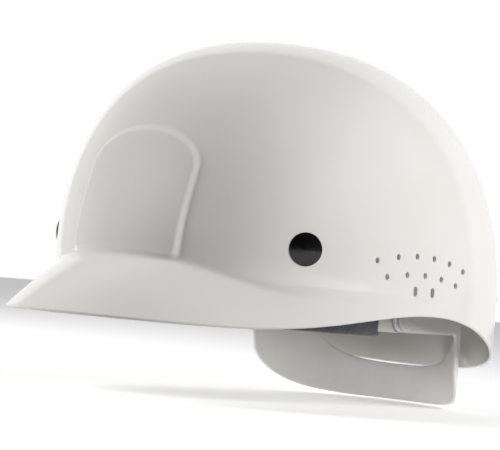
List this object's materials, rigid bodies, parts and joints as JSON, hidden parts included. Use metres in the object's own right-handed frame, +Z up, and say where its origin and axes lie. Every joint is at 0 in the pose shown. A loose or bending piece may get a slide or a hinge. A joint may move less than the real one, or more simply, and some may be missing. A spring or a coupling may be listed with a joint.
{
  "type": "bump cap",
  "caption": "White moulded bump cap with a short visor, side vents and a cradle of headband, crossed crown straps and a swinging nape strap.",
  "frame": {"origin": "middle of the headband, on the plane of its lower edge", "axes": "+X to the wearer's left, -Y towards the visor, +Z up through the crown"},
  "size_m": [0.2102, 0.2753, 0.1765],
  "materials": {
    "shell_plastic": "gloss",
    "plug_plastic": "gloss",
    "retainer_plastic": "satin",
    "cradle_plastic": "satin",
    "headband_plastic": "satin",
    "pin_plastic": "satin",
    "sweatband_foam": "brushed fabric",
    "strap_plastic": "satin",
    "crown_foam": "brushed fabric",
    "nape_plastic": "satin"
  },
  "bodies": {
    "cap": {"shell": "shell_plastic", "shell_plugs": "plug_plastic", "plug_retainers": "retainer_plastic", "hanger_front_left": "cradle_plastic", "hanger_front_right": "cradle_plastic", "hanger_rear_left": "cradle_plastic", "hanger_rear_right": "cradle_plastic", "headband": "headband_plastic", "headband_pins": "pin_plastic", "sweatband": "sweatband_foam", "crown_strap_upper": "strap_plastic", "crown_strap_lower": "strap_plastic", "crown_rivet": "pin_plastic", "crown_disc": "cradle_plastic", "crown_pad": "crown_foam", "nape_studs": "pin_plastic"},
    "nape": {"nape_strap": "nape_plastic"}
  },
  "joints": [
    {"name": "nape_swing", "type": "hinge", "parent": "cap", "child": "nape", "pos_m": [0, 0.004, 0.0065], "axis": [1, 0, 0], "range_deg": [-10, 4]}
  ]
}
